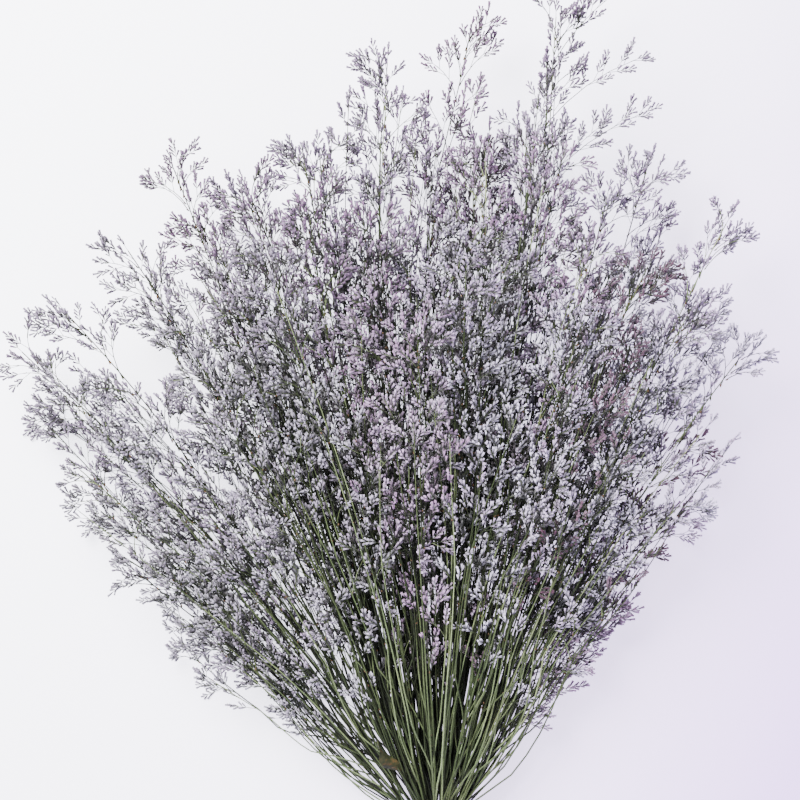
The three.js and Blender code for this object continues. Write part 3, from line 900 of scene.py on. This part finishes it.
def scale_material():
    """The small brown scales at the forks."""
    material, tree, shader = new_material("node_scale", 0.75)
    height, _, _ = growth_of(tree)
    browns = [(0, (0.05, 0.035, 0.02)), (0.6, (0.09, 0.045, 0.025)), (1, (0.16, 0.09, 0.05))]
    tree.links.new(ramp(tree, height, browns), shader.inputs["Base Color"])
    return material


def leaf_material():
    """Dead leaf: brown and olive blotches, darker towards its foot."""
    material, tree, shader = new_material("dead_leaf", 0.75)
    height, _, _ = growth_of(tree)
    blotches = noise(tree, 260, 4)
    shade = ramp(tree, height, [(0, (0.6, 0.65, 0.5)), (0.7, (1, 1, 1))])
    colour = shaded(tree, ramp(tree, blotches, LEAF_COLOURS), shade)
    tree.links.new(colour, shader.inputs["Base Color"])
    bumped(tree, shader, blotches, 0.6, 0.0004)
    return material


def calyx_material(word):
    """Papery calyx: dark at the foot and pale at the rim, each one a little lighter or darker, with
    patches of a second tint over the spray and fine ribs."""
    material, tree, shader = new_material("calyx_" + word, 0.85)
    foot, middle, rim, patch = CALYX_COLOURS[word]
    height, luck, inside = growth_of(tree)
    main = ramp(tree, height, [(0.1, foot), (0.4, middle), (0.8, rim)])
    tinted = ramp(tree, height, [(0.1, foot), (0.4, middle), (0.8, patch)])
    where = ramp(tree, noise(tree, 16, 2), [(0.42, (0, 0, 0)), (0.62, (1, 1, 1))])
    colour = mixed(tree, "MIX", where, main, tinted)
    dark, usual, light = (0.6, 0.56, 0.58), (0.88, 0.86, 0.88), (1.12, 1.14, 1.12)
    shades = [(0, dark), (0.35, usual), (0.75, (1, 1, 1)), (1, light)]
    lighter = ramp(tree, luck, shades)
    # Painted shade: a calyx darkens the deeper it lies inside the bunch
    inner_shade = ramp(tree, inside, INNER_PAINTED_SHADE)
    split = tree.nodes.new("ShaderNodeSeparateXYZ")
    tree.links.new(own_place(tree, (1.8, 1, 1), (0.5, 0.5, 0)), split.inputs["Vector"])
    across_tone = ramp(tree, split.outputs["X"], LEFT_DARKER)
    far_up = ramp(tree, split.outputs["Y"], FAR_UP_DARKER)
    colour = shaded(tree, colour, lighter, inner_shade, across_tone, far_up)
    tree.links.new(colour, shader.inputs["Base Color"])
    shader.inputs["Sheen Weight"].default_value = 0.2
    bumped(tree, shader, noise(tree, 2600, 1), 0.3, 0.0002)
    return material


tie_low, tie_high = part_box("tie")
origin = np.array([(tie_low.x + tie_high.x) / 2, (tie_low.y + tie_high.y) / 2, 0.0])
stem_look = stem_material()
scale_look = scale_material()
leaf_look = leaf_material()
calyx_looks = {word: calyx_material(word) for word in CALYX_COLOURS}

grown = []
for own, (_, reach, word) in enumerate(tips):
    rng = np.random.default_rng(own + 1)
    lines, feet, ends, upwards = spray_lines(own, reach, rng)
    way = ends - feet
    bows = unit(upwards - (upwards * unit(way)).sum(1, keepdims=True) * unit(way))
    arches = rng.uniform(*BRANCH_BOW, (len(way), 1))
    bows = bows * np.linalg.norm(way, axis=1, keepdims=True) * arches
    spikes = spikes_of(lines, feet, ends, bows, upwards, rng)
    grown.append((lines, feet, ends, bows, spikes, calyces_of(*spikes, rng)))

bits = [calyces[0] for *_, calyces in grown]
for lines, *_ in grown:
    for distances, path in lines:
        steps = np.arange(distances[0], distances[-1], STEM_STEP)
        bits.append(on_line(distances, path, steps))
bits = np.concatenate(bits)
crowd = np.sort(crowd_key(bits, np.maximum(bits[:, 2], 0)))

for own, (lines, feet, ends, bows, spikes, calyces) in enumerate(grown):
    rng = np.random.default_rng(own + 101)
    paler = np.interp(tips[own][0][0], PALER_FROM, PALER_BY)
    parts = []
    for number, (distances, path) in enumerate(lines):
        radii = (STEM_RADIUS, STEM_TIP_RADIUS) if number == 0 else SIDE_RADII
        power = STEM_POWER if number == 0 else SIDE_POWER
        share = np.clip(distances / distances[-1], 0, 1) ** power
        girth = (radii[0] + (radii[1] - radii[0]) * share)[None]
        most, curve, limit = PALE_SHARE
        luck = min(most * chance(own, 90 + number) ** curve + paler, limit)
        add_part(parts, tubes(path[None], girth, SIDES_OF_TUBES[number > 0]), 0, luck)
    branch_luck = np.clip(chance(own, 90) + rng.normal(0, BRANCH_SHADES, len(feet)), 0, 0.9)
    arches = arched(feet, ends, bows, BRANCH_POINTS)
    shape = tubes(arches, tapered(BRANCH_RADII, len(feet), BRANCH_POINTS), SIDES_OF_TUBES[2])
    add_part(parts, shape, 0, np.repeat(branch_luck, SIDES_OF_TUBES[2] * BRANCH_POINTS))
    spike_feet, spike_ways, spike_sizes, _ = spikes
    stalks = np.stack([spike_feet, spike_feet + spike_ways * spike_sizes[:, None]], 1)
    shape = tubes(stalks, tapered(SPIKE_RADII, len(stalks), 2), SIDES_OF_TUBES[2])
    spike_luck = rng.uniform(*SPIKE_SHADES, len(stalks))
    add_part(parts, shape, 0, np.repeat(spike_luck, SIDES_OF_TUBES[2] * 2))
    forks = [path[0] for _, path in lines[1:]]
    fork_ways = [path[2] - path[0] for _, path in lines[1:]]
    scale_feet = np.concatenate([feet, forks])
    scale_ways = unit(np.concatenate([unit(ends - feet), fork_ways]))
    scale_sizes = np.full(len(scale_feet), NODE_SCALE)
    scales = funnels(scale_feet, scale_ways, scale_sizes, NODE_RADII, np.zeros(len(scale_feet)))
    add_part(parts, scales, 1, 0.5)
    kept = rng.uniform(0, 1, len(calyces[0])) > RUBBED_OFF * (depth_inside(calyces[0]) == 1)
    calyx_feet, calyx_ways, calyx_sizes = (column[kept] for column in calyces)
    roll = rng.uniform(0, math.pi, len(calyx_feet))
    shares = tuple(radius / CALYX_LENGTH for radius in CALYX_RADII)
    shape = funnels(calyx_feet, calyx_ways, calyx_sizes, shares, roll)
    add_part(parts, shape, 2, np.repeat(rng.uniform(0, 1, len(calyx_feet)), FUNNEL_CORNERS))
    if own == LEAF_SPRAY:
        add_part(parts, leaf(), 3, 0.5)
    name, word = "spray_%02d" % (own + 1), tips[own][2]
    looks = (stem_look, scale_look, calyx_looks[word], leaf_look)
    piece = part_mesh("fine_" + name, parts, looks[: 4 if own == LEAF_SPRAY else 3], origin)
    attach(piece, "root")
    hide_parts(name)

# The tie: plain jute twine of three plies, wound round the neck in four and a half turns. Its two
# ends meet in a knot on top and lie loose on the stems.
TWINE_RADIUS = 1.25
TWINE_PLIES = 3
TWINE_LAY = 7.0  # the length over which a ply winds once round
TWINE_TURNS = 4.5
TWINE_PITCH = 2.5
PLY_RADIUS = 0.58  # as a share of the twine's,
PLY_OUT = 0.46  # and so far from its middle
KNOT_SIZE = 3.4
KNOT_DEPTH = 0.45
END_LENGTHS = (26.0, 21.0)
TWINE_COLOURS = [(0.25, (0.11, 0.07, 0.035)), (0.5, (0.22, 0.15, 0.08)), (0.75, (0.34, 0.25, 0.14))]


def twine_material():
    """Jute: twisted strands that slant across the twine, lighter on their backs."""
    material, tree, shader = new_material("jute_twine", 0.9)
    fibres = noise(tree, 1500, 4, (1, 0.35, 1))
    tree.links.new(ramp(tree, fibres, TWINE_COLOURS), shader.inputs["Base Color"])
    bumped(tree, shader, fibres, 0.8, 0.0004)
    return material


def twine_path():
    """A helix round the neck, from one side of its top to the other."""
    ring = (tie_high.x - tie_low.x) * 500 - TWINE_RADIUS
    turn = np.linspace(0, TWINE_TURNS * 2 * math.pi, 130)
    rise = (turn / (2 * math.pi) - TWINE_TURNS / 2) * TWINE_PITCH
    return np.stack([ring * np.sin(turn), rise, TIE_LIFT + ring * np.cos(turn)], 1)


def knot_path():
    """A trefoil that lies on top of the tie: its line winds three times through its own loop."""
    t = np.linspace(0, 2 * math.pi, 60)
    x = KNOT_SIZE * (np.sin(t) + 2 * np.sin(2 * t)) / 2
    y = KNOT_SIZE * (np.cos(t) - 2 * np.cos(2 * t)) / 2
    return np.stack([x, y, knot_height - KNOT_SIZE * KNOT_DEPTH * np.sin(3 * t)], 1)


def end_path(side, length):
    """A loose end: it leaves the knot to one side, rises a little, and bends down to the stems."""
    t = np.linspace(0, 1, 24)
    x = side * length * (0.8 * t - 0.25 * t * t)
    y = length * 0.75 * t * t
    return np.stack([x, y, knot_height + 3 * np.sin(2.6 * t) - 5.0 * t * t], 1)


def strands(path, steady):
    """The twine's plies: each winds round the twine's path once in every lay of its length. No part
    of the path runs along steady."""
    along = unit(np.gradient(path, axis=0))
    side = unit(np.cross(along, steady))
    other = np.cross(along, side)
    run = np.concatenate([[0], np.cumsum(np.linalg.norm(np.diff(path, axis=0), axis=1))])
    start = np.arange(TWINE_PLIES)[:, None] * 2 * math.pi / TWINE_PLIES
    turn = run[None] / TWINE_LAY * 2 * math.pi + start
    out = side[None] * np.cos(turn)[..., None] + other[None] * np.sin(turn)[..., None]
    return path[None] + out * TWINE_RADIUS * PLY_OUT


knot_height = TIE_LIFT + (tie_high.x - tie_low.x) * 500 + TWINE_RADIUS
ends = [end_path(side, length) for side, length in zip((-1, 1), END_LENGTHS)]
parts = []
for path, steady in [(twine_path(), (0, 1, 0))] + [(path, (0, 0, 1)) for path in (knot_path(), *ends)]:
    twine = strands(path, steady)
    add_part(parts, tubes(twine, np.full(twine.shape[:2], TWINE_RADIUS * PLY_RADIUS), 6), 0, 0.5)
piece = part_mesh("twine_tie", parts, (twine_material(),), origin)
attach(piece, "root")
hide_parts("tie")

# The floor, the light and the camera. The light is soft and comes from the upper left of the
# picture. The camera looks straight down, and a pixel of its picture is 0.75 mm.
PIXEL = 0.00075
CAMERA_HEIGHT = 3.0  # over the height at which a pixel is that wide,
FOCUS_HEIGHT = 0.09  # which is this
# The strength of the floor's painted glow
FLOOR_PAINTED_GLOW = 2.3
# Painted light and shade across the floor, from white at the upper left, towards the key lamp, to a darker
# lavender at the lower right
FLOOR_PAINTED_LIGHT = [(0.1, (0.92, 0.93, 1.0)), (0.5, (0.86, 0.84, 0.97)), (0.95, (0.53, 0.36, 0.75))]
ROOM_LIGHT = 0.95
LIT_HEIGHT = 0.08  # the height in the middle of the picture that the lamps look at
# Each lamp's place from the middle of the picture, its size, power and colour
LAMPS = {
    "key": ((-0.9, 0.9, 1.7), 1.3, 235, (1.0, 0.985, 0.97)),
    "fill": ((0.9, -0.7, 1.9), 1.8, 34, (0.93, 0.93, 1.0)),
}
PHOTO_TIE = (437, 861)  # the tie's place in the photograph's pixels, just under its lower edge


def floor_material():
    """Pale matt ground with painted light: it goes from white at the upper left, towards the key lamp,
    to a faint lavender shade at the right, and glows a little, a painted glow though it is no lamp."""
    material, tree, shader = new_material("floor_painted_light", 0.9)
    split = tree.nodes.new("ShaderNodeSeparateXYZ")
    turned = own_place(tree, (1.2, 1.2, 1), (0.5, 0, 0), math.radians(25))
    tree.links.new(turned, split.inputs["Vector"])
    painted_tone = ramp(tree, split.outputs["X"], FLOOR_PAINTED_LIGHT)
    tree.links.new(painted_tone, shader.inputs["Base Color"])
    tree.links.new(painted_tone, shader.inputs["Emission Color"])
    shader.inputs["Emission Strength"].default_value = FLOOR_PAINTED_GLOW
    return material


def area_light(name, place, target, size, power, colour):
    """A square lamp that looks from its place at a target."""
    light = bpy.data.lights.new(name, "AREA")
    light.size = size
    light.energy = power
    light.color = colour
    lamp = new_object(name, light)
    lamp.location = place
    way = np.subtract(target, place)
    tilt = math.acos(-way[2] / np.linalg.norm(way))
    lamp.rotation_euler = (tilt, 0, math.atan2(way[0], -way[1]) + math.pi)


mesh = bpy.data.meshes.new("floor")
mesh.from_pydata([(-4, -4, 0), (4, -4, 0), (4, 4, 0), (-4, 4, 0)], [], [(0, 1, 2, 3)])
mesh.materials.append(floor_material())
floor = new_object("floor", mesh)

middle = (origin[0] + (400 - PHOTO_TIE[0]) * PIXEL, origin[1] + (PHOTO_TIE[1] - 400) * PIXEL)
for name, ((x, y, z), size, power, colour) in LAMPS.items():
    place = (middle[0] + x, middle[1] + y, z)
    area_light(name, place, (*middle, LIT_HEIGHT), size, power, colour)
world = bpy.data.worlds.new("studio")
world.use_nodes = True
world.node_tree.nodes["Background"].inputs["Color"].default_value = (0.86, 0.87, 1.0, 1)
world.node_tree.nodes["Background"].inputs["Strength"].default_value = ROOM_LIGHT
bpy.context.scene.world = world

camera_data = bpy.data.cameras.new("camera")
camera_data.sensor_width = 36
camera_data.lens = 36 * CAMERA_HEIGHT / (800 * PIXEL)
camera = new_object("camera", camera_data)
camera.location = (middle[0], middle[1], FOCUS_HEIGHT + CAMERA_HEIGHT)
bpy.context.scene.camera = camera
